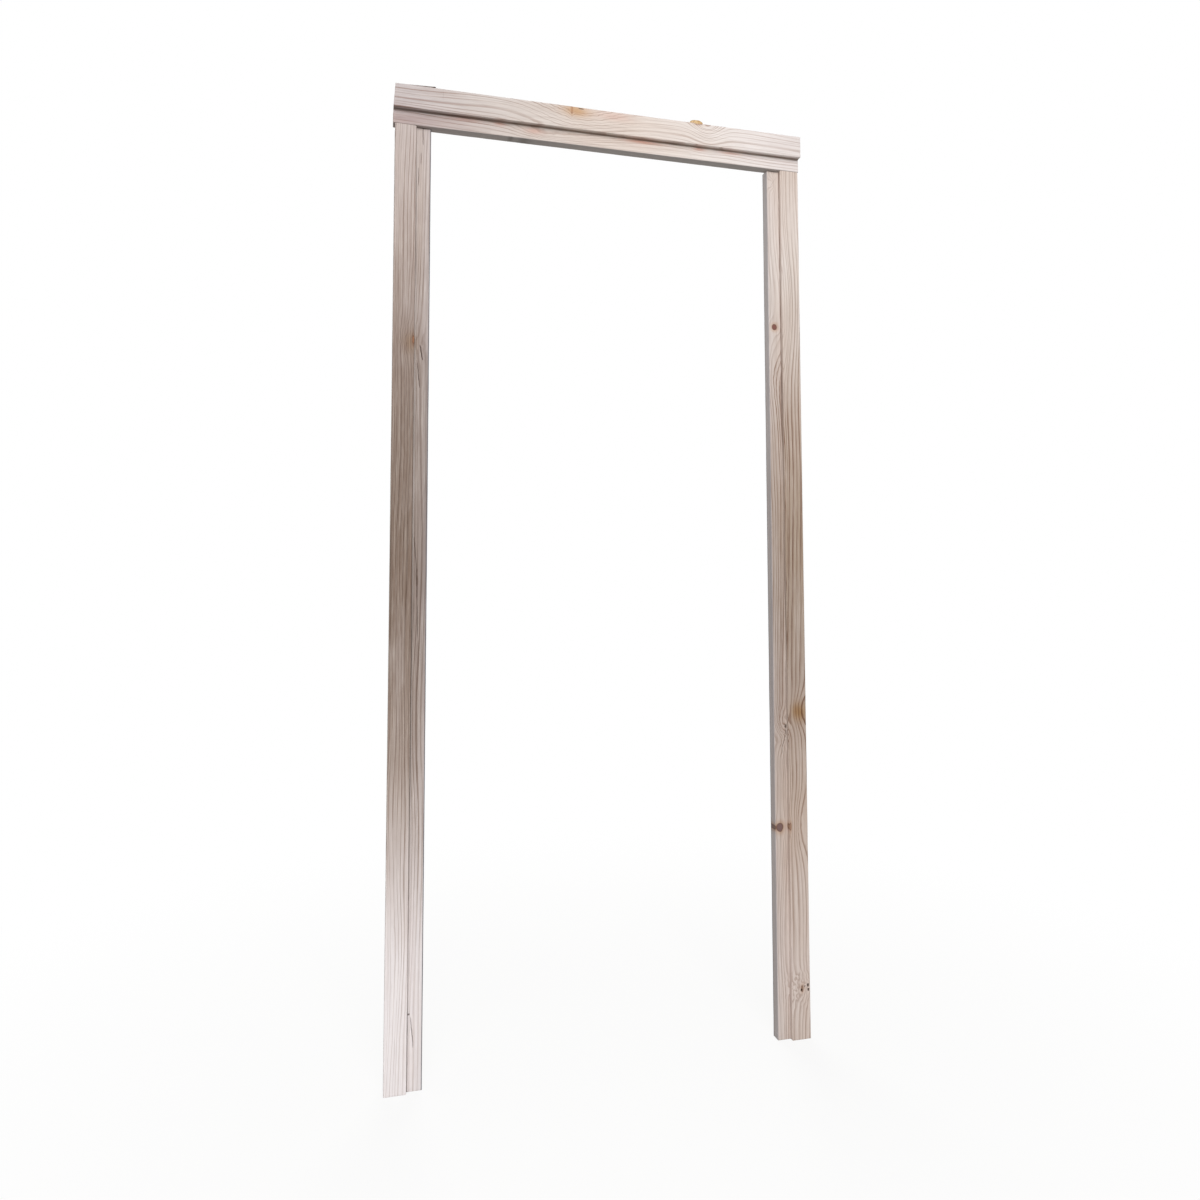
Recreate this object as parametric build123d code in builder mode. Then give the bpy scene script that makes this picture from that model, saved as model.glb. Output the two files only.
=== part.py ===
from build123d import *
import os

os.makedirs("parts", exist_ok=True)

# A softwood door frame: three planed and rebated boards, a head lying across the
# tops of two jambs, held by wire nails driven down through the head.
# +X runs to the right along the head, +Y away from the rebated side, +Z up.
# The origin is on the floor, midway along the head and midway through the depth.

# Overall sizes, over the outer faces of the jambs and from the feet to the head's top edge
frame_width = 932
frame_height = 2066

# The rebated section the boards are run from: a proud band in front of a wider stop, whose
# thickness is the same on all three. The head is the wider board, with the deeper rebate.
jamb_face = 76
jamb_band = 45
jamb_rebate = 9
head_face = 80
head_band = 50
head_rebate = 13
stop_thickness = 23
arris_radius = 1.5

# How far the head runs past the outer face of each jamb, and how far out of square
# its left end was sawn across the proud band
overhang_left = 4
overhang_right = 1
saw_slant = 3.5

# The resin knot that stands above the head's top edge, measured from the head's left end;
# its crest lies left of its middle, so it is steep to the left and sloping to the right
knot_from_left = 678
knot_length = 31
knot_crest_left = 6
knot_rise = 8
knot_depth = 19
knot_round = 2

# The long splinter lifted from the same edge near the left end
splinter_from_left = 14
splinter_length = 74
splinter_rise = 2.8
splinter_depth = 9

# The wire nails, two to a joint, sunk flush with the head's top edge
nail_length = 125
nail_shank_radius = 2.25
nail_head_radius = 4.5
nail_head_thickness = 1.6
nail_point = 8
nail_inset = 13
nail_gap = 0.05

# Places that follow from the sizes
head_length = overhang_left + frame_width + overhang_right
head_left = -head_length / 2
left_outer = head_left + overhang_left
right_outer = left_outer + frame_width
jamb_length = frame_height - head_face
head_thickness = head_rebate + stop_thickness
head_front = -(head_rebate + jamb_rebate + stop_thickness) / 2
head_back = head_front + head_thickness
jamb_front = head_front + head_rebate
seat_middle = (jamb_front + head_back) / 2


def board_section(plane, face, band, rebate):
    """The rebated section: its face lies along the plane's x from the outer edge inwards,
    its thickness along the plane's y from the proud band backwards."""
    thickness = rebate + stop_thickness
    with BuildSketch(plane) as section:
        with BuildLine():
            Polyline(
                (0, 0),
                (band, 0),
                (band, rebate),
                (face, rebate),
                (face, thickness),
                (0, thickness),
                close=True,
            )
        make_face()
        # Every corner is eased but the inner one of the rebate
        corners = section.vertices().sort_by_distance((band, rebate))
        fillet(corners[1:], arris_radius)
    return section.sketch


def nail_half(x, gap):
    """Half the outline of a wire nail at x, made larger all round by the gap."""
    head_edge = nail_head_radius + gap
    shank_edge = nail_shank_radius + gap
    under_head = frame_height - nail_head_thickness
    tip = frame_height - nail_length - gap
    with BuildSketch(Plane.XZ.offset(-seat_middle)) as half:
        with BuildLine():
            Polyline(
                (x, frame_height),
                (x + head_edge, frame_height),
                (x + head_edge, under_head),
                (x + shank_edge, under_head),
                (x + shank_edge, tip + nail_point),
                (x, tip),
                close=True,
            )
        make_face()
    return half.sketch


def nail_axis(x):
    return Axis((x, seat_middle, 0), (0, 0, 1))


# Both nails of a joint go through the proud band, where head and jamb are in line
nail_places = {
    "nail_left_outer": left_outer + nail_inset,
    "nail_left_inner": left_outer + jamb_band - nail_inset,
    "nail_right_inner": right_outer - jamb_band + nail_inset,
    "nail_right_outer": right_outer - nail_inset,
}

# Head: the section run along X with its outer edge up, so the proud band is on top
head_end = Plane(origin=(head_left, head_front, frame_height), x_dir=(0, 0, -1), z_dir=(1, 0, 0))
knot_x = head_left + knot_from_left
splinter_x = head_left + splinter_from_left
# The knot and the splinter grow out of the wood from below the eased arris
root = 2 * arris_radius

with BuildPart() as head:
    extrude(board_section(head_end, head_face, head_band, head_rebate), amount=head_length)

    # The left end, sawn a little out of square across the proud band
    with BuildSketch(Plane.XZ.offset(-head_front)):
        with BuildLine():
            Polyline(
                (head_left, frame_height - head_band),
                (head_left + saw_slant, frame_height),
                (head_left, frame_height),
                close=True,
            )
        make_face()
    extrude(amount=-head_thickness, mode=Mode.SUBTRACT)

    # The knot, a low hump that begins at the front face and fades into the top edge. A cubic
    # curve whose two handles stand a third higher than the hump just reaches its full rise,
    # and its crest moves by three quarters of the handles' shared shift.
    handle_top = frame_height + knot_rise * 4 / 3
    handle_shift = knot_crest_left * 4 / 3
    with BuildSketch(Plane.XZ.offset(-head_front)):
        with BuildLine():
            Polyline(
                (knot_x + knot_length / 2, frame_height),
                (knot_x + knot_length / 2, frame_height - root),
                (knot_x - knot_length / 2, frame_height - root),
                (knot_x - knot_length / 2, frame_height),
            )
            Bezier(
                (knot_x - knot_length / 2, frame_height),
                (knot_x - handle_shift - knot_length / 5, handle_top),
                (knot_x - handle_shift + knot_length / 5, handle_top),
                (knot_x + knot_length / 2, frame_height),
            )
        make_face()
    extrude(amount=-knot_depth)
    hump = head.faces().filter_by(Plane.XZ).sort_by_distance(
        (knot_x, head_front + knot_depth, frame_height + knot_rise)
    )[0]
    hump_rim = hump.edges().sort_by(Axis.Z)[-1]
    fillet(hump_rim, knot_round)

    # The splinter, a sliver torn up from the arris with its free end to the right
    with BuildSketch(Plane.XZ.offset(-head_front)):
        with BuildLine():
            Polyline(
                (splinter_x, frame_height),
                (splinter_x + splinter_length, frame_height + splinter_rise),
                (splinter_x + splinter_length, frame_height - root),
                (splinter_x, frame_height - root),
                close=True,
            )
        make_face()
    extrude(amount=-splinter_depth)

    for x in nail_places.values():
        revolve(nail_half(x, nail_gap), axis=nail_axis(x), mode=Mode.SUBTRACT)
head.part.label = "head"
export_step(head.part, "parts/head.step")

# Left jamb: the section stood on the floor, its outer face to the left
left_foot = Plane(origin=(left_outer, jamb_front, 0), x_dir=(1, 0, 0), z_dir=(0, 0, 1))

with BuildPart() as left_jamb:
    extrude(board_section(left_foot, jamb_face, jamb_band, jamb_rebate), amount=jamb_length)
    for name in ("nail_left_outer", "nail_left_inner"):
        x = nail_places[name]
        revolve(nail_half(x, nail_gap), axis=nail_axis(x), mode=Mode.SUBTRACT)
left_jamb.part.label = "left_jamb"
export_step(left_jamb.part, "parts/left_jamb.step")

# Right jamb: the same section turned end for end, run down from under the head
right_top = Plane(
    origin=(right_outer, jamb_front, jamb_length), x_dir=(-1, 0, 0), z_dir=(0, 0, -1)
)

with BuildPart() as right_jamb:
    extrude(board_section(right_top, jamb_face, jamb_band, jamb_rebate), amount=jamb_length)
    for name in ("nail_right_inner", "nail_right_outer"):
        x = nail_places[name]
        revolve(nail_half(x, nail_gap), axis=nail_axis(x), mode=Mode.SUBTRACT)
right_jamb.part.label = "right_jamb"
export_step(right_jamb.part, "parts/right_jamb.step")

# Nails, each its own piece
for name, x in nail_places.items():
    with BuildPart() as nail:
        revolve(nail_half(x, 0), axis=nail_axis(x))
    nail.part.label = name
    export_step(nail.part, f"parts/{name}.step")
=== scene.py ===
import bpy
import numpy as np
from mathutils import Matrix, Vector


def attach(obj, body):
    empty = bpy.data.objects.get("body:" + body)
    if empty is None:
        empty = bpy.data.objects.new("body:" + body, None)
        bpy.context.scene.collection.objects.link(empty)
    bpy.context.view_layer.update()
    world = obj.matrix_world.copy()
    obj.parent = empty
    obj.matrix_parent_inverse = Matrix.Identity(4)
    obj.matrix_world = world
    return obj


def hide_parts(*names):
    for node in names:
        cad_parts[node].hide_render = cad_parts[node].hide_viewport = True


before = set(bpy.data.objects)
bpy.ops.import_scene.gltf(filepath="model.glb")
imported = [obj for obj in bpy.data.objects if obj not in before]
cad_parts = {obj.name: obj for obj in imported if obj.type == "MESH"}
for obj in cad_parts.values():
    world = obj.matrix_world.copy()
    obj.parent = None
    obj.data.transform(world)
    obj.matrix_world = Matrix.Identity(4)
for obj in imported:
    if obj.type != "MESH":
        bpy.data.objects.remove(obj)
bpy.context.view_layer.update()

# The head: a planed softwood board lying across both jambs and nailed down to them, rebated along
# its lower front edge so that the proud band is on top. A resin knot stands out of its top edge, a
# splinter has lifted near the left end, and that end is sawn askew. Lengths are in millimetres.
head_length = 937.0
head_left = -468.5
head_top = 2066.0
head_face = 80.0
head_band = 50.0
head_front = -22.5
head_rebate = 13.0
stop_thickness = 23.0
arris_radius = 1.5
saw_slant = 3.5
nail_places = np.array([-451.5, -432.5, 435.5, 454.5])
nail_depth = 24.5
# The planed surface lies this far inside the part's, and its waves stay within that
skim = 0.2
plane_wave = 0.06


def tone(red, green, blue):
    """A colour as it looks on a screen, 0 to 255, turned into the linear numbers of a shader: each
    part plus 0.055, over 1.055, to the power 2.4, or over 12.92 on the curve's straight foot."""
    part = np.array([red, green, blue]) / 255.0
    part = np.where(part <= 0.04045, part / 12.92, ((part + 0.055) / 1.055) ** 2.4)
    return (*(float(p) for p in part), 1.0)


def ticks(length, step, close=()):
    """Places from 0 to length a step apart, but within each (from, to, step) of close at that
    finer step."""
    least_gap = 0.1
    plain = np.linspace(0.0, length, max(2, int(round(length / step)) + 1))
    fine = [np.arange(max(begin, 0.0), min(end, length), gap) for begin, end, gap in close]
    for window in fine:
        plain = plain[(plain <= window[0] - least_gap) | (plain >= window[-1] + least_gap)]
    return np.unique(np.concatenate([plain, *fine]))


def rebated_outline(face, band, rebate, close):
    """The section's outline, gone round once: (across, depth) points and the outward direction at
    each. Each edge is a straight line between its corners, and each corner but the rebate's inner
    one is a quarter circle: centre plus radius times (cosine, sine) of the turn. close gives finer
    steps for an edge, by the number of the corner that it starts from."""
    back = rebate + stop_thickness
    corners = np.array(
        [(0, 0), (band, 0), (band, rebate), (face, rebate), (face, back), (0, back)], float
    )
    inner_corner = 2
    flat_step = 2.6
    past_arris = arris_radius + 0.4
    past_inner = 0.6
    turn = np.linspace(0.0, np.pi / 2, 6)[:, None]
    points, outward = [], []
    for i, here in enumerate(corners):
        before, after = corners[i - 1], corners[(i + 1) % len(corners)]
        way_in = (here - before) / np.linalg.norm(here - before)
        run = np.linalg.norm(after - here)
        way_out = (after - here) / run
        if i == inner_corner:
            points.append(here[None])
            outward.append(np.array([[0.7, -0.7]]))
        else:
            inset = way_in * (1 - np.sin(turn)) - way_out * (1 - np.cos(turn))
            points.append(here - arris_radius * inset)
            outward.append(way_in * np.sin(turn) - way_out * np.cos(turn))
        flat = ticks(run, flat_step, close.get(i, ()))
        starts = past_inner if i == inner_corner else past_arris
        ends = past_inner if i + 1 == inner_corner else past_arris
        flat = flat[(flat > starts) & (flat < run - ends)][:, None]
        side = np.array([way_out[1], -way_out[0]])
        points.append(here + way_out * flat)
        outward.append(np.repeat(side[None], len(flat), 0))
    return np.concatenate(points), np.concatenate(outward)


def wander(place, scale, seed):
    """A smooth line that wanders between about -1 and 1: four sines of unlike lengths, each with
    its own phase, added up and divided by 2.6."""
    paces = (1.0, 1.93, 3.41, 5.83)
    phases = np.random.default_rng(seed).uniform(0, 2 * np.pi, len(paces))
    return sum(np.sin(place / scale * pace + p) for pace, p in zip(paces, phases)) / 2.6


def facing_out(points, faces):
    """The faces turned so that they point outwards. The signed volume is the sum, over the two
    triangles of each face, of one corner times the cross product of the other two, and where it
    is negative every face is gone round the other way."""
    a, b, c, d = (points[faces[:, k]] for k in range(4))
    first = np.einsum("ij,ij->i", a, np.cross(b, c))
    second = np.einsum("ij,ij->i", a, np.cross(c, d))
    return faces if (first + second).sum() > 0 else faces[:, ::-1]


def piece(name, points, faces, finish, facts=None, sharp=35.0):
    """A finished piece of wood: points in millimetres in the frame's own place, four-cornered
    faces whose corners may repeat at a pole, smooth but for edges sharper than the angle."""
    faces = facing_out(points, faces)
    mesh = bpy.data.meshes.new(name)
    metres = points * 0.001
    mesh.from_pydata(metres.tolist(), [], [list(dict.fromkeys(f)) for f in faces.tolist()])
    for fact, value in (facts or {}).items():
        layer = mesh.attributes.new(fact, "FLOAT", "POINT")
        layer.data.foreach_set("value", value.astype(np.float32))
    mesh.polygons.foreach_set("use_smooth", np.ones(len(mesh.polygons), bool))
    mesh.set_sharp_from_angle(angle=np.radians(sharp))
    mesh.materials.append(finish)
    made = bpy.data.objects.new(name, mesh)
    bpy.context.scene.collection.objects.link(made)
    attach(made, "root")
    return made


# A point is on the board's front, or on its outer edge, where the part of its outward direction
# that goes back, or inwards, is below this
facing_limit = -0.6


def cut_marks(outward, across, along, marks):
    """How deep the marks cut into the front faces. A split is (across, along, across, along, half
    width, depth): the depth times one less the square of (distance from its line over the half
    width), thinning to nothing at both ends. A pit is (across, along, radius across, radius
    along, depth): the depth times 1.2 less the squares of both distances over their radii, kept
    from 0 to 1 and to the power 0.6."""
    waver, waver_length = 0.35, 11.0
    cut = np.zeros(np.broadcast(across, along).shape)
    for mark in marks:
        if len(mark) == 6:
            c0, a0, c1, a1, half, deep = mark
            run = np.hypot(c1 - c0, a1 - a0)
            t = ((across - c0) * (c1 - c0) + (along - a0) * (a1 - a0)) / run**2
            off = ((across - c0) * (a1 - a0) - (along - a0) * (c1 - c0)) / run
            off = off + waver * wander(along, waver_length, int(a0))
            taper = np.clip(4 * t * (1 - t), 0, 1) ** 0.3 * ((t > 0) & (t < 1))
            bowl = np.clip(1 - (off / (half * (0.5 + 0.5 * taper))) ** 2, 0, 1) * taper
        else:
            c0, a0, rc, ra, deep = mark
            reach = ((across - c0) / rc) ** 2 + ((along - a0) / ra) ** 2
            bowl = np.clip(1.2 - reach, 0, 1) ** 0.6
        cut = np.maximum(cut, deep * bowl)
    return cut * (outward[:, 1:2] < facing_limit)


def board(name, place, length, face, band, rebate, finish, close_round, close_along, marks, seed,
          start=lambda across: 0.0 * across, wells=None):
    """A rebated board: its outline carried along its length, then closed at each end by rings of
    the outline shrunk towards a point that sees all of it. The surface sinks along its outward
    direction by the skim, slow waves of the plane, the marks, the wells and a fine easing at the
    sawn ends. place() sets (across, depth, along) in the frame, and start() says how far along
    the first end begins at each place across."""
    along_step, end_step, end_run = 5.0, 0.4, 1.2
    ease_depth, ease_run = 0.45, 0.5
    long_wave, short_wave = 90.0, 41.0
    outline, outward = rebated_outline(face, band, rebate, close_round)
    sawn = [(0.0, end_run, end_step), (length - end_run, length + end_step / 2, end_step)]
    along = ticks(length, along_step, [*sawn, *close_along])[None]
    across, depth = outline[:, :1], outline[:, 1:]
    waves = wander(along + 9 * across, long_wave, seed)
    waves = waves + wander(along - 5 * depth, short_wave, seed + 1)
    ease = ease_depth * np.clip(1 - np.minimum(along, length - along) / ease_run, 0, 1)
    hollow = cut_marks(outward, across, along, marks)
    if wells is not None:
        hollow = np.maximum(hollow, wells(outward, depth, along))
    sink = skim + plane_wave * waves + ease + hollow
    grid_across = across - outward[:, :1] * sink
    grid_depth = depth - outward[:, 1:] * sink
    begin = start(across)
    grid_along = begin + along * (length - begin) / length

    # The rings of each end shrink towards the seat, a point inside the section that its whole
    # outline sees, and flatten to the level of the rim's deepest place where the end is slanted
    n, m = grid_across.shape
    seat = np.array([band * 0.6, rebate + 10.0])
    shrink = np.array([0.975, 0.9, 0.76, 0.58, 0.38, 0.18])
    ends = []
    for column in (0, -1):
        rim = np.stack([grid_across[:, column], grid_depth[:, column]], 1)
        rings = seat + (rim[None] - seat) * shrink[:, None, None]
        reach = np.repeat(grid_along[None, :, column], len(shrink), 0)
        level = grid_along[:, column].mean() if column else reach.max()
        reach = level + (reach - level) * shrink[:, None]
        cap = np.stack([rings[..., 0], rings[..., 1], reach], -1).reshape(-1, 3)
        ends.append(np.concatenate([cap, [[*seat, level]]]))
    walls = np.stack([grid_across, grid_depth, grid_along], -1).transpose(1, 0, 2).reshape(-1, 3)
    points = place(*np.concatenate([walls, *ends]).T)

    here = np.arange(n)
    there = np.roll(here, -1)
    row = (np.arange(m - 1) * n)[:, None]
    faces = [
        np.stack([row + here, row + there, row + n + there, row + n + here], -1).reshape(-1, 4)
    ]
    base = m * n
    for column, rim_row in ((0, 0), (-1, (m - 1) * n)):
        rings = [rim_row + here] + [base + k * n + here for k in range(len(shrink))]
        way = 1 if column == 0 else -1
        for inner, outer in zip(rings[1:], rings[:-1]):
            faces.append(np.stack([inner, inner[there], outer[there], outer], -1)[:, ::way])
        pole = np.full(n, base + len(shrink) * n)
        last = rings[-1]
        faces.append(np.stack([last, pole, pole, last[there]], -1)[:, ::-way])
        base = pole[0] + 1
    in_caps = 2 * len(ends[0])
    sawn_rims = (ease[0] > ease_depth / 2) * 1.0
    facts = {
        "end_grain": np.concatenate([np.repeat(sawn_rims, n), np.ones(in_caps)]),
        "hollow": np.concatenate([hollow.T.reshape(-1), np.zeros(in_caps)]),
    }
    return piece(name, points, np.concatenate(faces), finish, facts)


class Shade:
    """A shader socket that can stand in a Python sum. It knows its tree, so + - * / and ** on
    values add Math nodes, and add() puts in any other node: its kind, its settings, its inputs,
    and the number of the output that is wanted."""

    def __init__(self, socket):
        self.socket = socket
        self.tree = socket.id_data

    def add(self, kind, settings=None, inputs=None, out=0):
        node = self.tree.nodes.new("ShaderNode" + kind)
        for name, value in (settings or {}).items():
            if name == "stops":
                while len(node.color_ramp.elements) < len(value):
                    node.color_ramp.elements.new(1.0)
                for element, (position, colour) in zip(node.color_ramp.elements, value):
                    element.position, element.color = position, colour
            elif name == "ramp":
                node.color_ramp.interpolation = value
            else:
                setattr(node, name, value)
        for name, value in (inputs or {}).items():
            if isinstance(value, Shade):
                self.tree.links.new(node.inputs[name], value.socket)
            else:
                node.inputs[name].default_value = value
        return Shade(node.outputs[out])

    def math(self, operation, *values):
        return self.add("Math", {"operation": operation}, dict(enumerate(values)))

    def __add__(self, other): return self.math("ADD", self, other)
    def __radd__(self, other): return self.math("ADD", other, self)
    def __sub__(self, other): return self.math("SUBTRACT", self, other)
    def __rsub__(self, other): return self.math("SUBTRACT", other, self)
    def __mul__(self, other): return self.math("MULTIPLY", self, other)
    def __rmul__(self, other): return self.math("MULTIPLY", other, self)
    def __truediv__(self, other): return self.math("DIVIDE", self, other)
    def __rtruediv__(self, other): return self.math("DIVIDE", other, self)
    def __pow__(self, other): return self.math("POWER", self, other)
    def __neg__(self): return self.math("MULTIPLY", self, -1.0)

    def exp(self): return self.math("EXPONENT", self)
    def sine(self): return self.math("SINE", self)
    def fraction(self): return self.math("FRACT", self)
    def floor(self): return self.math("FLOOR", self)
    def most(self, other): return self.math("MAXIMUM", self, other)

    def between(self, low, high):
        """0 below low, 1 above high and smooth in between, or the other way round if low is the
        higher of the two."""
        ends = {"To Min": 0.0, "To Max": 1.0}
        if low > high:
            low, high = high, low
            ends = {"To Min": 1.0, "To Max": 0.0}
        return self.add("MapRange", {"interpolation_type": "SMOOTHSTEP"},
                        {"Value": self, "From Min": low, "From Max": high, **ends})

    def bell(self, middle, width):
        """1 at the middle, falling to 1/e a width away: e to the less of (distance / width)
        squared."""
        return (-(((self - middle) / width) ** 2.0)).exp()

    def mix(self, base, colour, way="MIX"):
        """The base with this much of the colour laid over it."""
        return self.add("Mix", {"data_type": "RGBA", "blend_type": way, "clamp_factor": True},
                        {0: self, 6: base, 7: colour}, out=2)

    def noise(self, x, y, z, detail=2.0, rough=0.5):
        """Cloudy noise, mostly 0.3 to 0.7, at that place; a unit of the place is about a cloud."""
        place = self.add("CombineXYZ", None, {0: x, 1: y, 2: z})
        return self.add("TexNoise", {"noise_dimensions": "3D"},
                        {"Vector": place, "Scale": 1.0, "Detail": detail, "Roughness": rough})


def new_finish(name, **fixed):
    """A material with only its shader and output, and the Object coordinates in millimetres as
    three values. Sockets are named with _ for a space."""
    finish = bpy.data.materials.new(name)
    finish.use_nodes = True
    tree = finish.node_tree
    tree.nodes.clear()
    surface = tree.nodes.new("ShaderNodeBsdfPrincipled")
    result = tree.nodes.new("ShaderNodeOutputMaterial")
    tree.links.new(result.inputs["Surface"], surface.outputs["BSDF"])
    for socket, value in fixed.items():
        surface.inputs[socket.replace("_", " ")].default_value = value
    place = Shade(tree.nodes.new("ShaderNodeTexCoord").outputs["Object"])
    axes = place.add("SeparateXYZ", None, {0: place}).socket.node
    x, y, z = (Shade(axes.outputs[k]) * 1000.0 for k in range(3))
    return finish, surface, x, y, z


def feed(surface, **values):
    """Worked-out values wired into a shader's sockets, named with _ for a space."""
    for socket, value in values.items():
        surface.id_data.links.new(surface.inputs[socket.replace("_", " ")], value.socket)


def grain(across, depth, along, pith, ring, bends, knots, lean, seed, late_from):
    """How much late wood there is at each place, how far the bends gather its lines, and the
    fine curls. The growth rings are tubes round a pith line: the distance from it over the ring
    width, whose fraction runs from pale early wood to a thin dark late line, which begins at
    late_from. The line wanders and leans along the board, is pushed aside and curled by each
    bend, and parts round each knot."""
    slow = along.noise(across / 80.0 + seed, depth / 80.0, along / 460.0, 1.0) - 0.5
    quick = along.noise(across / 16.0, depth / 16.0 + seed, along / 120.0, 2.0) - 0.5
    curls = along.noise(across / 11.0, depth / 20.0, along / 17.0 + seed, 1.0) - 0.5
    line = across + slow * 30.0 + quick * 2.6 + along * lean
    gathered = 0.0
    for c, a, wide, long, push, curl in bends:
        near = across.bell(c, wide) * along.bell(a, long)
        line = line + near * (curls * curl + push)
        gathered = near * abs(push) * 0.006 + gathered
    for c, a, rc, ra, *_ in knots:
        near = across.bell(c, rc * 2.6) * along.bell(a, ra * 3.0)
        line = line - (across - c) * near * 0.85
    from_pith = ((line - pith[0]) ** 2.0 + (depth - pith[1]) ** 2.0) ** 0.5
    # Fat and lean years: the rings are counted with a slow shift of their own
    unlike = along.noise(from_pith / (ring * 2.2), seed, 0.0, 1.0) - 0.5
    count = from_pith / ring + unlike * 2.2
    year = count.fraction()
    hardness = along.add("TexWhiteNoise", {"noise_dimensions": "1D"}, {"W": count.floor() + seed})
    patchy = along.noise(across / 26.0, depth / 26.0 + seed, along / 210.0, 2.0)
    late = year.between(late_from, 0.86) * year.between(1.0, 0.92)
    late = late * (0.4 + hardness * 0.6) * (0.35 + patchy.between(0.25, 0.6) * 0.65)
    return late, gathered, curls


def knot_eyes(colour, knots, across, along, fibre, curls):
    """The knots laid over the wood, and where they are. The reach is the distance from the knot's
    middle over its radii, ruffled by the fibre: an amber halo outside 1, the knot's own colour
    with small rings inside it, and a dark rim of bark at 1."""
    eyes = 0.0
    for c, a, rc, ra, knot_tone, strength in knots:
        reach = (((across - c) / rc) ** 2.0 + ((along - a) / ra) ** 2.0) ** 0.5
        reach = reach + (fibre - 0.5) * 0.3 + curls * 0.5
        eye = reach.between(1.08, 0.9)
        halo = reach.between(2.6, 0.9) * 0.5
        small = (reach * 3.2).fraction().between(0.3, 0.9)
        rim = reach.bell(1.0, 0.14) * 0.7
        colour = (halo * strength).mix(colour, tone(222, 182, 140), "MULTIPLY")
        colour = (eye * strength).mix(colour, knot_tone)
        colour = (eye * small * 0.45).mix(colour, tone(130, 98, 80), "MULTIPLY")
        colour = (rim * strength).mix(colour, tone(88, 56, 42))
        eyes = (eye * strength).most(eyes)
    return colour, eyes


def corner_dust_and_shade(across, depth, along, band, rebate, dust_and_shade_reach, seed):
    """Where dirt, a dark saw line and painted shade lie in the inner corner of the rebate: on the
    step as wide as dust_and_shade_reach says, and a little way onto the stop, with an edge that
    wavers."""
    wavy = along.noise(along / 38.0, seed, 0.0, 2.0) - 0.5
    past_band = across - band
    from_corner = rebate - depth + wavy * 0.9
    on_stop = (past_band + wavy * 2.2).between(2.4, 0.5)
    on_stop = on_stop * depth.between(rebate - 1.2, rebate - 0.2)
    on_stop = on_stop * depth.between(rebate + 4.0, rebate + 2.0)
    on_step = from_corner.between(dust_and_shade_reach, dust_and_shade_reach * 0.35) * past_band.between(1.0, 0.4)
    on_step = on_step * depth.between(1.0, 2.0) * depth.between(rebate + 2.0, rebate + 0.5)
    return on_stop.most(on_step) * past_band.between(-1.6, -0.8)


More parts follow.
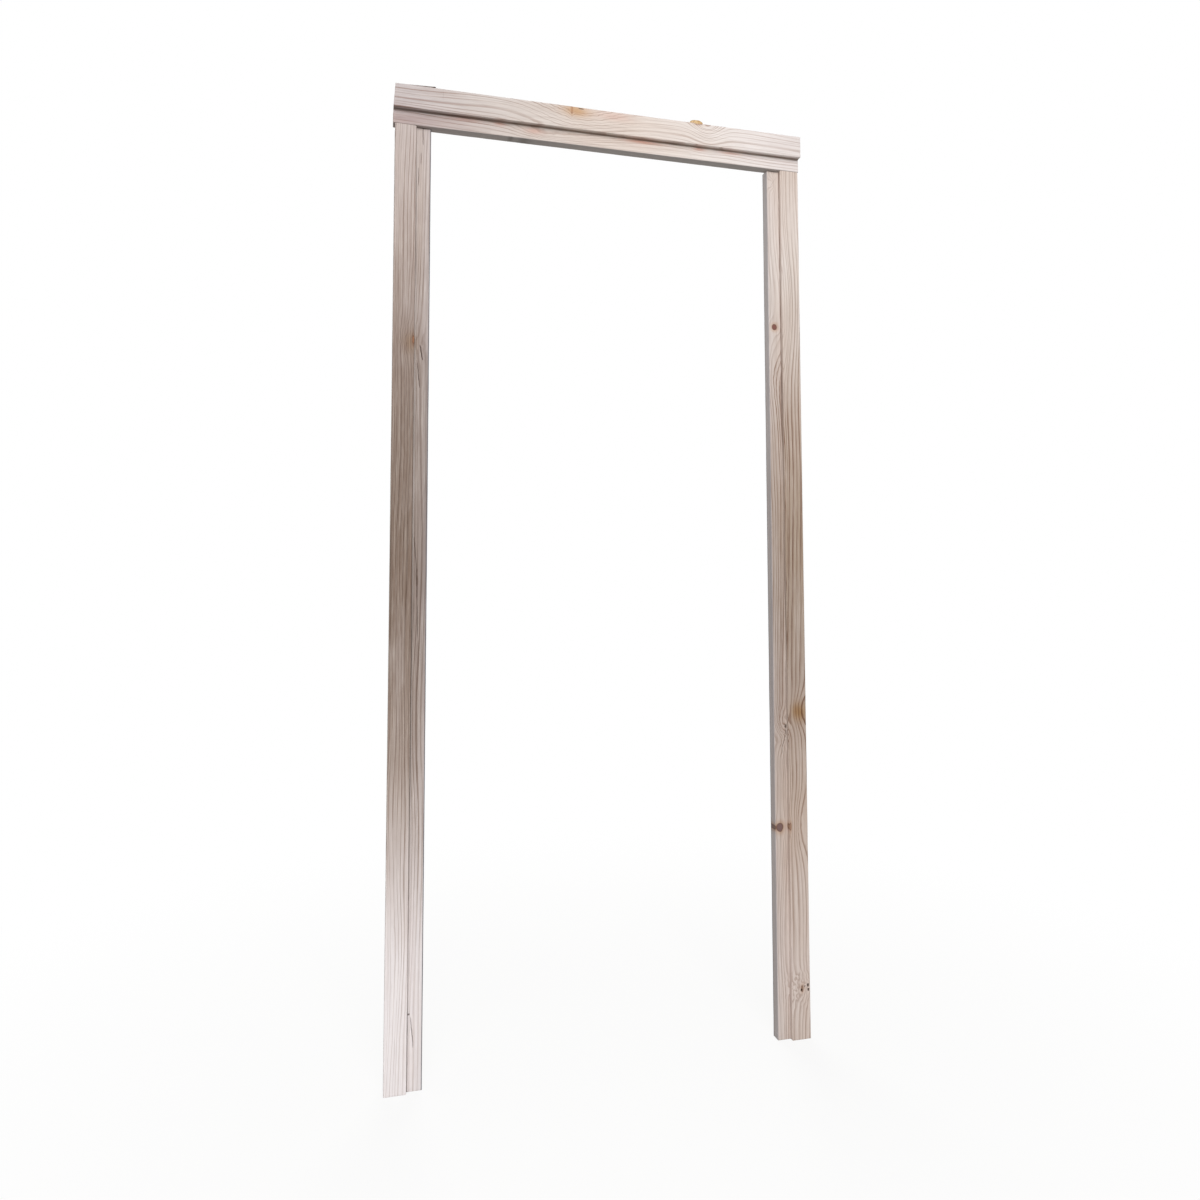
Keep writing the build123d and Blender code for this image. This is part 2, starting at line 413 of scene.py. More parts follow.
def pine(name, lay, length, face, band, rebate, *, pith, ring, lean, seed, late_from, tones,
         back_tone, line_tint, bends, knots, stains, dust_and_shade_reach, dust_and_shade_tone, dust_and_shade_along=((0.0, 1.0),),
         grey_stop=0.0, inner_shade_tone=(178, 171, 168), inner_shade_share=0.85, painted_step_light=0.0,
         arris_shade_lines=(0.0, 0.0)):
    """Planed softwood, in the board's own (across, depth, along), which lay() works out.
    Tones are (along, colour, strength of the lines), the light and shade painted along the board
    over some of the wood's own tone; stains (across, along, width across, width along, colour,
    amount);
    bends (across, along, width across, width along, push, curl); knots (across, along, radius
    across, radius along, colour, strength); dust_and_shade_along (along, amount). grey_stop greys
    the stop band, inner_shade_share lays inner_shade_tone, a painted shade, on the face into the
    doorway, painted_step_light paints light on the step and the stop beside it, and
    arris_shade_lines darken that face's two arrises with painted shade."""
    finish, surface, x, y, z = new_finish(name, Specular_IOR_Level=0.3)
    across, depth, along = lay(x, y, z)
    late, gathered, curls = grain(
        across, depth, along, pith, ring, bends, knots, lean, seed, late_from
    )
    fibre = x.noise(across * 1.6, depth * 1.6, along / 26.0 + seed, 4.0, 0.62)
    streak = x.noise(across * 0.5, depth * 0.5, along / 130.0 + seed, 2.0, 0.6)
    pore = x.noise(across * 4.5, depth * 4.5, along / 5.0 + seed, 2.0, 0.5)
    cloud = x.noise(across / 34.0 + seed, depth / 34.0, along / 190.0, 3.0)
    end = x.add("Attribute", {"attribute_name": "end_grain"}, out=2)
    sunk = x.add("Attribute", {"attribute_name": "hollow"}, out=2)

    # The tones along the board: light and shade painted along it over some of the wood's own tone,
    # which fade to the back's own tone. The ramp's alpha carries the strength of the lines.
    stops = [(place / length, (*colour[:3], lines)) for place, colour, lines in tones]
    painted_light_tones = x.add("ValToRGB", {"stops": stops, "ramp": "B_SPLINE"}, {"Fac": along / length})
    strength = Shade(painted_light_tones.socket.node.outputs["Alpha"])
    behind = depth.between(rebate + 4.0, rebate + 18.0) * 0.75
    colour = behind.mix(painted_light_tones, back_tone)
    colour = (cloud.between(0.45, 0.75) * 0.12).mix(colour, tone(226, 196, 172), "MULTIPLY")
    colour = (cloud.between(0.5, 0.28) * 0.14).mix(colour, tone(226, 218, 216))
    on_stop = depth.between(rebate - 2.0, rebate - 0.5) * depth.between(rebate + 4.0, rebate + 1.5)
    grey = on_stop * (across.between(face - 20.0, face) * 0.5 + 0.5) * grey_stop
    colour = grey.mix(colour, tone(206, 199, 200))

    # Late lines, then streaks, fibres and resin ducts, each finer than the one before
    colour = (late * (strength * 1.3 + gathered)).mix(colour, line_tint, "MULTIPLY")
    colour = (streak.between(0.48, 0.68) * 0.25).mix(colour, tone(206, 194, 186), "MULTIPLY")
    colour = (streak.between(0.5, 0.34) * 0.10).mix(colour, tone(252, 244, 234))
    colour = ((fibre - 0.5) * 0.8).most(0.0).mix(colour, tone(150, 134, 122), "MULTIPLY")
    colour = ((0.5 - fibre) * 0.5).most(0.0).mix(colour, tone(246, 240, 236))
    duct = pore.between(0.70, 0.76) * late.between(0.1, 0.4) * 0.5
    colour = duct.mix(colour, tone(128, 96, 74))

    # The face that looks into the doorway is painted greyer and darker: painted shade
    inner = across.between(face - 2.2, face - 0.5) * depth.between(rebate - 0.5, rebate + 0.5)
    shaded_inner = (cloud * 0.5).mix(tone(*inner_shade_tone), tone(150, 136, 124), "MULTIPLY")
    colour = (inner * inner_shade_share).mix(colour, shaded_inner)
    for c, a, wide, long, stain, amount in stains:
        patch = across.bell(c, wide) * along.bell(a, long) * (0.3 + cloud * 1.4) * amount
        colour = patch.mix(colour, stain, "MULTIPLY")

    # Painted light: the step of the rebate and the stop beside it are paler, less where dust and
    # painted shade are laid
    laid = [(place / length, (amount, amount, amount, 1.0)) for place, amount in dust_and_shade_along]
    laid = x.add("ValToRGB", {"stops": laid, "ramp": "LINEAR"}, {"Fac": along / length})
    past_band = across - band
    lit_step = past_band.between(4.5, 1.0) * past_band.between(-1.5, -0.8) * depth.between(1.0, 2.0)
    lit_step = lit_step * depth.between(rebate + 2.0, rebate + 1.0) * (1.0 - laid * 0.8)
    colour = (lit_step * painted_step_light).mix(colour, tone(255, 246, 240))

    colour, eyes = knot_eyes(colour, knots, across, along, fibre, curls)
    colour = (end * 0.5).mix(colour, tone(200, 176, 152), "MULTIPLY")
    # The two arrises of the face into the doorway are darkened: painted shade
    front_shade, rear_shade = arris_shade_lines
    front_arris_shade = across.between(face - 2.7, face - 1.4) * front_shade
    front_arris_shade = front_arris_shade * depth.between(rebate + 4.0, rebate + 1.6)
    rear_arris_shade = across.between(face - 2.4, face - 0.8) * rear_shade
    rear_arris_shade = rear_arris_shade * depth.between(rebate + 19.0, rebate + 20.6)
    colour = front_arris_shade.most(rear_arris_shade).mix(colour, tone(84, 82, 90))
    # Dust, a saw line and painted shade in the inner corner of the rebate, as much as is laid along
    # it
    dust_and_shade = corner_dust_and_shade(across, depth, along, band, rebate, dust_and_shade_reach, seed) * (1.0 - end)
    colour = (dust_and_shade * laid * 0.72).mix(colour, tone(*dust_and_shade_tone), "MULTIPLY")
    # The hollows of the marks, the nail wells and the splinter's torn tip are darkened by their
    # depth: painted shade
    dark = sunk.between(0.05, 0.7) * 0.74 + sunk.between(1.5, 2.4) * 0.2
    colour = dark.mix(colour, tone(62, 43, 33))

    rough = 0.66 - late * 0.12 + (fibre - 0.5) * 0.16 + end * 0.12 - eyes * 0.2
    # Fibres, pores and late wood stand up, and the planer's knives leave faint cross waves
    knife_mark = 3.4
    height = fibre * 0.5 + pore * 0.22 + late * 0.35
    height = height + (along / knife_mark * 6.2832).sine() * 0.05
    bump = x.add("Bump", None, {"Height": height, "Strength": 0.35, "Distance": 0.0004})
    feed(surface, Base_Color=colour, Roughness=rough, Normal=bump)
    return finish


blush = tone(246, 206, 194)

head_wood = pine(
    "pine_head",
    lambda x, y, z: (head_top - z, y - head_front, x - head_left),
    head_length, head_face, head_band, head_rebate,
    pith=(-110.0, 44.0),
    ring=7.4,
    lean=-0.008,
    seed=3.0,
    late_from=0.6,
    tones=[(0.0, tone(182, 172, 172), 1.1), (150.0, tone(191, 182, 178), 0.9),
           (330.0, tone(205, 195, 188), 0.55), (520.0, tone(213, 199, 189), 0.7),
           (700.0, tone(224, 216, 211), 0.85), (840.0, tone(229, 221, 218), 0.6),
           (937.0, tone(219, 210, 207), 0.6)],
    back_tone=tone(216, 203, 188),
    line_tint=tone(196, 176, 166),
    bends=[(8.0, 400.0, 54.0, 100.0, -42.0, 10.0), (2.0, 705.0, 40.0, 34.0, -38.0, 6.0),
           (66.0, 325.0, 18.0, 60.0, -14.0, 6.0)],
    knots=[(7.0, 384.0, 8.0, 1.8, tone(196, 148, 108), 0.7),
           (-2.0, 680.0, 6.0, 12.0, tone(176, 122, 72), 0.4)],
    # A resin patch, blush mostly below the step, a duller left end, two spots on the soffit
    stains=[(8.0, 396.0, 15.0, 32.0, tone(236, 204, 166), 1.0),
            (54.0, 150.0, 4.0, 38.0, blush, 0.6), (54.0, 226.0, 4.0, 12.0, blush, 0.7),
            (60.0, 302.0, 7.0, 20.0, blush, 0.5), (54.0, 550.0, 4.0, 45.0, blush, 0.8),
            (54.0, 688.0, 4.0, 14.0, blush, 0.8), (54.0, 765.0, 4.0, 28.0, blush, 0.7),
            (10.0, 480.0, 10.0, 40.0, blush, 0.4),
            (68.0, 40.0, 20.0, 110.0, tone(226, 212, 210), 0.9),
            (81.0, 251.0, 2.4, 6.0, tone(200, 198, 196), 0.9),
            (81.0, 281.0, 2.4, 16.0, tone(196, 194, 192), 0.9)],
    # Dust and painted shade darken the step under the proud band this far from the corner
    dust_and_shade_reach=9.5,
    dust_and_shade_tone=(120, 98, 76),
)


def nail_wells(outward, depth, along):
    """Round flat-bottomed wells in the top edge where the nail heads lie: their depth times how
    far a place is inside the rim, over the width of the wall, from 0 to 1."""
    well_rim, well_wall, well_depth = 5.1, 0.5, 1.75
    off_nails = (along[..., None] + head_left - nail_places).transpose(2, 0, 1)
    away = np.hypot(depth - nail_depth, off_nails).min(0)
    inside = np.clip((well_rim - away) / well_wall, 0, 1)
    return well_depth * inside * (outward[:, :1] < facing_limit)


# The steps along the board are finer round the nails, and where the marks and knots are
nail_reach, nail_step = 6.5, 0.65
nail_windows = [
    (p - head_left - nail_reach, p - head_left + nail_reach, nail_step) for p in nail_places
]
head_board = board(
    "head_board",
    lambda a, d, l: np.stack([head_left + l, head_front + d, head_top - a], 1),
    head_length, head_face, head_band, head_rebate, head_wood,
    close_round={0: [(0.0, 6.0, 1.2)], 5: [(4.0, 18.5, 0.7)]},
    close_along=nail_windows + [(97.0, 103.5, 0.5), (384.0, 414.0, 1.2), (656.0, 700.0, 1.5)],
    marks=[(2.5, 396.0, 3.6, 410.0, 1.3, 1.0), (1.5, 100.0, 27.0, 100.6, 0.9, 0.32)],
    seed=11,
    start=lambda a: saw_slant * np.clip(1 - a / head_band, 0, 1) * (a < head_band + 0.01),
    wells=nail_wells,
)
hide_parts("head")

# The resin knot in the head's top edge: a stub of a dead branch in hardened resin, left standing
# by the plane. It grows out of the front arris, steep to the left and sloping to the right.
knot_left, knot_right = 194.2, 226.0
knot_depth = 17.6
knot_rise = 7.85


def round_shell(turns, levels):
    """A closed shell of two angles: turn goes round it, fall goes from the top pole to the bottom
    one. Gives both angles of every point, the poles last, and the faces."""
    ring = np.arange(turns)
    after = np.roll(ring, -1)
    row = (np.arange(levels - 1) * turns)[:, None]
    walls = np.stack([row + ring, row + after, row + turns + after, row + turns + ring], -1)
    top, bottom = np.full(turns, turns * levels), np.full(turns, turns * levels + 1)
    last = (levels - 1) * turns
    top_cap = np.stack([top, top, after, ring], -1)
    bottom_cap = np.stack([bottom, bottom, last + ring, last + after], -1)
    turn, fall = (
        grid.reshape(-1)
        for grid in np.meshgrid(ring / turns * 2 * np.pi, np.linspace(0.0, np.pi, levels + 2)[1:-1])
    )
    faces = np.concatenate([walls.reshape(-1, 4), top_cap, bottom_cap])
    return np.append(turn, [0, 0]), np.append(fall, [0, np.pi]), faces


def softened(wave, power):
    """A sine or cosine whose round is squared off: its size to the power, with its sign kept."""
    return np.sign(wave) * np.abs(wave) ** power


turn, fall, knot_faces = round_shell(80, 52)
upper = fall < np.pi / 2
# A rounded block: the squared-off cosine and sine of the turn give the places to the side and
# inwards, and the cosine of the fall gives the height, up to a rugged crest line, stated as parts
# of the knot's length and mm, or down to where it runs out in the wood
plump = np.sin(fall) ** 0.14
side = softened(np.cos(turn), 0.7) * np.where(upper, plump**2.4, plump)
inward = softened(np.sin(turn), 0.62) * plump
part = (side + 1) / 2
crest = np.interp(part, [0.0, 0.06, 0.16, 0.34, 0.62, 0.78, 0.9, 1.0],
                  [5.2, 7.0, 7.7, 7.8, 7.7, 6.6, 5.0, 3.4])
run_down = np.interp(part, [0.0, 0.3, 0.75, 1.0], [1.6, 2.2, 4.0, 2.4])
rugged = 1 + 0.06 * wander(part * 60 + inward * 17, 13.0, 5)
rugged = rugged + 0.05 * wander(inward * 40 - part * 31, 6.0, 6)
dome_up = np.minimum(crest * rugged, knot_rise) * np.abs(np.cos(fall)) ** 0.2
up = np.where(upper, dome_up, run_down * np.cos(fall))
narrowing = 1 - 0.1 * np.clip(up, 0, 8) / 8
knot_points = np.stack([
    knot_left + (knot_right - knot_left) * part + 0.35 * wander(up * 8 + turn * 5, 4.0, 7),
    head_front + np.maximum(0.1 + knot_depth * (inward * narrowing + 1) / 2, 0.04),
    head_top - skim + up,
], 1)

resin, resin_surface, x, y, z = new_finish("resin_knot", Coat_Weight=0.35, Coat_Roughness=0.25)
crust = x.noise(x / 5.0, y / 5.0, z / 3.0, 4.0, 0.6)
branch_x, branch_y, branch_ring = 206.0, -13.0, 1.3
from_branch = ((x - branch_x) ** 2.0 + (y - branch_y) ** 2.0) ** 0.5
branch_rings = (from_branch / branch_ring + crust * 2.0).fraction()
resin_colour = crust.between(0.35, 0.65).mix(tone(212, 180, 130), tone(184, 146, 94))
ring_line = branch_rings.between(0.5, 0.95) * 0.4
resin_colour = ring_line.mix(resin_colour, tone(190, 156, 116), "MULTIPLY")
# The crown is darker, along a level that rises to the right
crown = (z - crust * 3.0 - x * 0.12).between(head_top - 20.6, head_top - 18.8)
resin_colour = (crown * 0.8).mix(resin_colour, tone(112, 94, 60))
resin_relief = crust + branch_rings * 0.2
resin_bump = x.add("Bump", None, {"Height": resin_relief, "Strength": 0.6, "Distance": 0.001})
feed(resin_surface, Base_Color=resin_colour, Roughness=0.36 + crust * 0.3, Normal=resin_bump)
piece("resin_knot", knot_points, knot_faces, resin, sharp=60.0)

# The splinter: a long flake of the same board lifted from the top arris by the plane, still held
# by its left root, with a ragged, dark free end to the right and a gap under it.
splinter_from, splinter_to = -452.0, -381.0
splinter_width, splinter_half = 4.1, 0.85
splinter_root, splinter_lift = 0.9, 2.9
turn, fall, splinter_faces = round_shell(36, 110)
# A flat ellipse carried along the run, from 0 at the root to 1 at the tip. It lifts with the run
# to the power 1.25, is blunt at both ends and narrows on the way, and its last tenth is torn
run = (1 - np.cos(fall)) / 2
torn = np.clip(run - 0.9, 0, 1) / 0.1
blunt = np.sin(fall) ** 0.22
lift = splinter_lift * run**1.25 - splinter_root
wide = splinter_width * blunt * (1 - 0.2 * run) * (1 + 0.08 * wander(run * 70, 9.0, 12))
thick = splinter_half * blunt * (1 - 0.25 * run)
tear = torn * (1.5 * wander(turn * 12, 6.0, 9) - 1.3)
splinter_points = np.stack([
    splinter_from + (splinter_to - splinter_from) * run + tear,
    head_front + 0.2 + wide * (1 + np.cos(turn)) + 0.3 * (1 - blunt),
    head_top + lift + thick * np.sin(turn) + 0.1 * wander(run * 70, 5.0, 10),
], 1)
# The torn tip is marked hollow, so it takes the hollows' painted shade
splinter_facts = {"hollow": 0.6 * np.clip((run - 0.93) / 0.04, 0, 1), "end_grain": 0.0 * run}
piece("splinter", splinter_points, splinter_faces, head_wood, splinter_facts,
      sharp=60.0)

# Left jamb: the same rebated board stood on the floor under the head's left end, with its proud
# band outwards and its stop band towards the doorway. It is as planed; its tones are painted darker
# in the middle, mostly painted shade over some of the wood's own tone.
jamb_length = 1986.0
jamb_face = 76.0
jamb_band = 45.0
jamb_rebate = 9.0
jamb_front = -9.5
left_outer = -464.5

left_wood = pine(
    "pine_left_jamb",
    lambda x, y, z: (x - left_outer, y - jamb_front, z),
    jamb_length, jamb_face, jamb_band, jamb_rebate,
    pith=(118.0, 74.0),
    ring=5.0,
    lean=-0.004,
    seed=7.0,
    late_from=0.64,
    tones=[(0.0, tone(236, 229, 229), 0.4), (230.0, tone(235, 229, 230), 0.5),
           (420.0, tone(202, 191, 187), 0.8), (640.0, tone(156, 139, 128), 1.1),
           (960.0, tone(111, 91, 77), 1.4), (1280.0, tone(126, 109, 97), 1.0),
           (1540.0, tone(130, 112, 102), 0.9), (1800.0, tone(178, 163, 156), 0.8),
           (1986.0, tone(183, 171, 167), 0.7)],
    back_tone=tone(208, 194, 178),
    line_tint=tone(168, 148, 132),
    bends=[(40.0, 1520.0, 26.0, 36.0, 10.0, 16.0)],
    knots=[(42.8, 1524.0, 2.2, 8.0, tone(140, 92, 56), 1.0)],
    # Amber round the knot, a warmer stop near the top, dull arrises, and a dark line under the
    # head:
    # painted shadow of its overhang in the joint
    stains=[(36.0, 1518.0, 16.0, 22.0, tone(226, 204, 172), 0.7),
            (54.0, 1800.0, 7.0, 220.0, tone(236, 226, 208), 0.3),
            (2.0, 960.0, 2.0, 330.0, tone(218, 214, 210), 1.0),
            (74.5, 1250.0, 5.0, 480.0, tone(222, 221, 222), 1.0),
            (60.0, 1986.5, 16.0, 2.0, tone(96, 74, 62), 1.2)],
    dust_and_shade_reach=1.3,
    dust_and_shade_tone=(104, 82, 64),
    dust_and_shade_along=((0.0, 1.0), (150.0, 1.0), (172.0, 0.4), (420.0, 0.55), (900.0, 0.9),
                (1150.0, 0.15), (1620.0, 0.1), (1700.0, 0.6), (1860.0, 0.6), (1920.0, 0.0)),
    grey_stop=0.3,
    # Painted light on the step, and painted shade on the front arris into the doorway
    painted_step_light=0.26,
    arris_shade_lines=(0.9, 0.0),
)

# Marks from the foot up: three cracks round the corner at the foot, a long drying split that drifts
# over the stop in seven runs, two splits below the small knot, and short ones under the head
left_board = board(
    "left_jamb_board",
    lambda a, d, l: np.stack([left_outer + a, jamb_front + d, l], 1),
    jamb_length, jamb_face, jamb_band, jamb_rebate, left_wood,
    close_round={2: [(3.0, 18.0, 0.4)]},
    close_along=[(4.0, 156.0, 2.4), (840.0, 1116.0, 2.5), (1422.0, 1518.0, 1.8),
                 (1856.0, 1984.0, 2.2)],
    marks=[(52.0, 146.0, 58.0, 84.0, 0.75, 1.2), (46.3, 152.0, 46.3, 3.0, 0.9, 1.4),
           (44.5, 151.0, 50.5, 150.0, 0.9, 1.4),
           (60.0, 518.0, 56.0, 395.0, 0.65, 0.22), (60.6, 612.0, 60.0, 510.0, 0.65, 0.26),
           (60.2, 856.0, 60.6, 600.0, 0.75, 0.3), (58.4, 908.0, 60.2, 840.0, 0.9, 0.4),
           (56.4, 988.0, 58.6, 900.0, 1.1, 0.7), (54.0, 1062.0, 56.6, 975.0, 1.35, 1.0),
           (48.8, 1112.0, 54.4, 1050.0, 1.15, 0.8),
           (51.4, 1480.0, 57.4, 1424.0, 0.8, 1.2), (57.2, 1516.0, 62.4, 1484.0, 1.1, 1.8),
           (50.4, 1900.0, 50.4, 1858.0, 0.7, 0.8), (55.1, 1932.0, 55.2, 1906.0, 0.75, 0.9),
           (58.7, 1991.0, 59.2, 1948.0, 0.8, 1.0), (69.3, 1981.0, 69.6, 1972.0, 1.0, 1.0)],
    seed=23,
)
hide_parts("left_jamb")

# Right jamb: the same section turned end for end, so its proud band is outwards too. It has the
# most figure of the three: two knots on the stop band, a burr of wavy grain and a few worm holes.
right_outer = 467.5

right_wood = pine(
    "pine_right_jamb",
    lambda x, y, z: (right_outer - x, y - jamb_front, z),
    jamb_length, jamb_face, jamb_band, jamb_rebate,
    pith=(-30.0, 84.0),
    ring=4.8,
    lean=0.006,
    seed=13.0,
    late_from=0.42,
    tones=[(0.0, tone(212, 196, 186), 0.55), (220.0, tone(213, 199, 192), 0.55),
           (480.0, tone(191, 171, 156), 0.7), (760.0, tone(170, 154, 144), 0.9),
           (1080.0, tone(151, 130, 109), 1.1), (1400.0, tone(183, 164, 151), 1.0),
           (1700.0, tone(216, 206, 199), 0.6), (1880.0, tone(219, 207, 200), 0.4),
           (1986.0, tone(207, 191, 180), 0.4)],
    back_tone=tone(210, 195, 178),
    line_tint=tone(160, 126, 100),
    bends=[(40.0, 1630.0, 34.0, 130.0, 16.0, 0.0), (-8.0, 726.0, 32.0, 36.0, -38.0, 12.0),
           (56.0, 704.0, 16.0, 24.0, -16.0, 18.0), (58.0, 660.0, 16.0, 30.0, 12.0, 10.0),
           (14.0, 470.0, 24.0, 60.0, -18.0, 8.0), (18.0, 112.0, 26.0, 36.0, 14.0, 36.0),
           (66.0, 1500.0, 18.0, 90.0, -12.0, 4.0), (62.0, 1955.0, 10.0, 16.0, 14.0, 6.0)],
    knots=[(60.9, 1612.4, 5.6, 6.6, tone(128, 84, 74), 1.0),
           (64.5, 464.7, 8.0, 9.0, tone(122, 96, 92), 1.0),
           (77.0, 465.0, 2.6, 5.0, tone(92, 62, 52), 0.9),
           (43.0, 467.0, 2.4, 8.0, tone(150, 116, 92), 0.8),
           (20.0, 110.0, 3.0, 7.0, tone(132, 100, 78), 0.7)],
    # Resin in the burr, and a dark line under the head: painted shadow of its overhang in the joint
    stains=[(12.0, 722.0, 14.0, 22.0, tone(226, 202, 158), 0.8),
            (27.0, 724.0, 12.0, 20.0, tone(226, 202, 162), 0.8),
            (60.0, 1986.5, 15.0, 2.0, tone(96, 74, 62), 1.2)],
    dust_and_shade_reach=1.3,
    dust_and_shade_tone=(112, 74, 54),
    dust_and_shade_along=((0.0, 0.5), (450.0, 0.3), (560.0, 0.0), (1120.0, 0.0), (1260.0, 0.25),
                (1450.0, 0.9), (1986.0, 1.0)),
    grey_stop=0.26,
    # Painted shade on the face into the doorway and its rear arris, and painted light on the step
    inner_shade_tone=(181, 176, 178),
    inner_shade_share=0.78,
    painted_step_light=0.12,
    arris_shade_lines=(0.0, 0.85),
)

# Marks from the foot up: worm holes, the hole under the burr with a crack that winds down from
# it, and two scratches under the head
right_board = board(
    "right_jamb_board",
    lambda a, d, l: np.stack([right_outer - a, jamb_front + d, l], 1),
    jamb_length, jamb_face, jamb_band, jamb_rebate, right_wood,
    close_round={0: [(1.5, 7.0, 0.6), (19.0, 24.0, 0.6)], 2: [(1.0, 27.0, 0.6)]},
    close_along=[(98.0, 124.0, 0.8), (630.0, 694.0, 1.6), (1942.0, 1984.0, 1.6)],
    marks=[(21.3, 107.3, 2.1, 2.6, 3.0), (5.4, 116.3, 1.9, 3.4, 3.0),
           (4.8, 106.4, 1.9, 3.0, 3.0), (12.5, 115.0, 1.1, 1.6, 1.4),
           (9.0, 120.0, 1.0, 1.4, 1.3), (47.2, 689.7, 1.9, 3.2, 2.2),
           (46.8, 688.0, 46.8, 673.0, 0.9, 0.8), (46.6, 676.0, 50.2, 658.5, 1.0, 0.8),
           (49.8, 660.5, 56.0, 643.5, 1.0, 0.75), (56.0, 645.5, 56.6, 626.0, 0.9, 0.6),
           (51.0, 1974.0, 69.0, 1944.0, 0.8, 0.4), (71.0, 1983.0, 68.0, 1963.0, 0.7, 0.35)],
    seed=37,
)
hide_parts("right_jamb")

# Nails: bright steel wire, cut, pointed and headed in one press, driven down through the head
# into the end grain of each jamb. Only the sunk heads show, from above.
steel, steel_surface, x, y, z = new_finish("nail_wire", Metallic=1.0)
wear = x.noise(x * 0.6, y * 0.6, z * 0.6, 3.0)
# The press leaves small squares on the heads: the product of a sine along X and one along Y
squares = ((x * 4.2).sine() * (y * 4.2).sine()).between(-0.3, 0.3)
steel_colour = wear.between(0.35, 0.7).mix(tone(178, 176, 172), tone(120, 108, 96))
steel_relief = squares + wear * 0.4
steel_bump = x.add("Bump", None, {"Height": steel_relief, "Strength": 0.5, "Distance": 0.0003})
feed(steel_surface, Base_Color=steel_colour, Roughness=0.28 + wear * 0.35, Normal=steel_bump)
for nail in ("nail_left_outer", "nail_left_inner", "nail_right_inner", "nail_right_outer"):
    for nail_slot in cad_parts[nail].material_slots:
        nail_slot.material = steel

# Floor: a pale studio floor that reads as the photograph's white and still takes a soft shadow.
# Seen by the camera or in a gloss it is mostly white light, all of it beyond 1.9 m from the frame.
floor_half = 30.0
floor_corners = [(-floor_half, -floor_half, 0), (floor_half, -floor_half, 0),
                 (floor_half, floor_half, 0), (-floor_half, floor_half, 0)]
floor_mesh = bpy.data.meshes.new("studio_floor")
floor_mesh.from_pydata(floor_corners, [], [(0, 1, 2, 3)])
floor = bpy.data.objects.new("studio_floor", floor_mesh)
bpy.context.scene.collection.objects.link(floor)
floor_finish, floor_surface, x, y, z = new_finish("studio_floor", Roughness=0.9)
mottle = x.noise(x / 900.0, y / 900.0, 0.0, 2.0)
ray = x.add("LightPath").socket.node
seen = Shade(ray.outputs["Is Camera Ray"]).most(Shade(ray.outputs["Is Glossy Ray"]))
pale = mottle.between(0.2, 0.8).mix(tone(224, 223, 221), tone(230, 229, 227))
feed(floor_surface, Base_Color=seen.mix(tone(150, 149, 147), pale))
floor_tree = floor_finish.node_tree
white = floor_tree.nodes.new("ShaderNodeEmission")
white.inputs["Color"].default_value = (1.0, 1.0, 1.0, 1.0)
away = (x**2.0 + y**2.0) ** 0.5
white_share = 0.86 + away.between(300.0, 1900.0) * 0.14
blend = x.add("MixShader", None, {0: seen * white_share}).socket.node
floor_tree.links.new(blend.inputs[1], floor_surface.outputs["BSDF"])
floor_tree.links.new(blend.inputs[2], white.outputs["Emission"])
floor_out = next(n for n in floor_tree.nodes if n.type == "OUTPUT_MATERIAL")
floor_tree.links.new(floor_out.inputs["Surface"], blend.outputs[0])
floor_mesh.materials.append(floor_finish)

# Light: an even sky that the camera and glossy rays see as white, and three large soft lamps: the
# key high in front and a little left, a low fill further left, and one behind for the back.
sky_strength = 0.42
sky = bpy.data.worlds.new("studio_sky")
bpy.context.scene.world = sky
sky.use_nodes = True
sky_tree = sky.node_tree
sky_tree.nodes.clear()
sky_out = sky_tree.nodes.new("ShaderNodeOutputWorld")
sky_even = sky_tree.nodes.new("ShaderNodeBackground")
sky_even.inputs["Color"].default_value = (1.0, 1.0, 1.0, 1.0)
sky_even.inputs["Strength"].default_value = sky_strength
sky_white = sky_tree.nodes.new("ShaderNodeBackground")
sky_white.inputs["Color"].default_value = (1.0, 1.0, 1.0, 1.0)
sky_ray = sky_tree.nodes.new("ShaderNodeLightPath")
looked_at, glossy, through = (
    Shade(sky_ray.outputs[f"Is {kind} Ray"]) for kind in ("Camera", "Glossy", "Transmission")
)
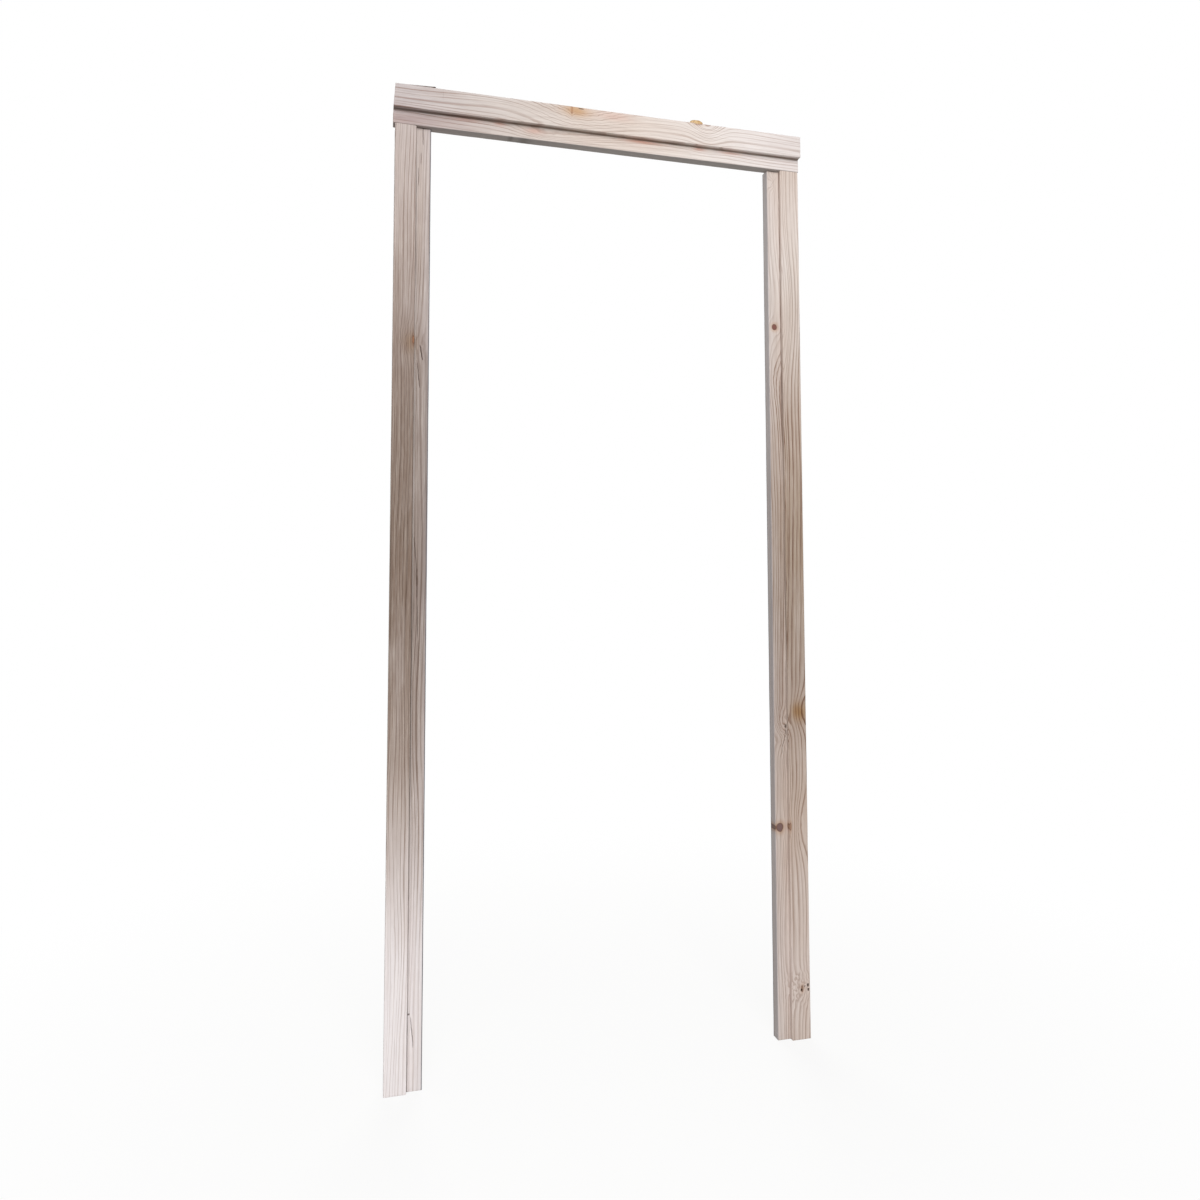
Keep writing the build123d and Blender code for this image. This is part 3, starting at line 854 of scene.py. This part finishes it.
sky_mix = looked_at.add("MixShader", None, {0: looked_at.most(glossy).most(through)}).socket.node
sky_tree.links.new(sky_mix.inputs[1], sky_even.outputs[0])
sky_tree.links.new(sky_mix.inputs[2], sky_white.outputs[0])
sky_tree.links.new(sky_out.inputs["Surface"], sky_mix.outputs[0])


def lamp(name, place, aim, size, power):
    """A square area lamp at place, turned to face aim: its local -Z along the line between them.
    Metres and watts."""
    light = bpy.data.lights.new(name, "AREA")
    light.size = size
    light.energy = power
    held = bpy.data.objects.new(name, light)
    held.location = place
    way = Vector(np.subtract(aim, place))
    held.rotation_euler = way.to_track_quat("-Z", "Y").to_euler()
    bpy.context.scene.collection.objects.link(held)


lamp("key_lamp", (-0.3, -3.3, 3.2), (0.0, 0.0, 1.1), 2.2, 86.0)
lamp("fill_lamp", (-1.5, -2.9, 0.8), (0.0, 0.0, 0.6), 1.8, 46.0)
lamp("back_lamp", (0.4, 3.4, 2.6), (0.0, 0.0, 1.1), 2.6, 84.0)

# Camera: waist high, a little left of the frame, turned right and tilted up, as the photograph
# was taken. The lens and the middle of the view are in pixels of the photograph, 1200 a side,
# and the small shift is the photograph's crop.
photo_side = 1200.0
lens_in_pixels = 864.81
middle_across, middle_down = 582.67, 532.04
yaw, pitch, roll = 0.242468, 0.058490, -0.000636
camera_data = bpy.data.cameras.new("photo_camera")
camera_data.sensor_width = 36.0
camera_data.lens = lens_in_pixels / photo_side * camera_data.sensor_width
camera_data.shift_x = (photo_side / 2 - middle_across) / photo_side
camera_data.shift_y = (middle_down - photo_side / 2) / photo_side
camera_data.clip_end = 200.0
camera = bpy.data.objects.new("photo_camera", camera_data)
turned = (Matrix.Rotation(-yaw, 4, "Z") @ Matrix.Rotation(np.pi / 2 + pitch, 4, "X")
          @ Matrix.Rotation(roll, 4, "Z"))
camera.matrix_world = Matrix.Translation((-0.50614, -1.82345, 1.01650)) @ turned
bpy.context.scene.collection.objects.link(camera)
bpy.context.scene.camera = camera
bpy.context.scene.view_settings.view_transform = "Standard"
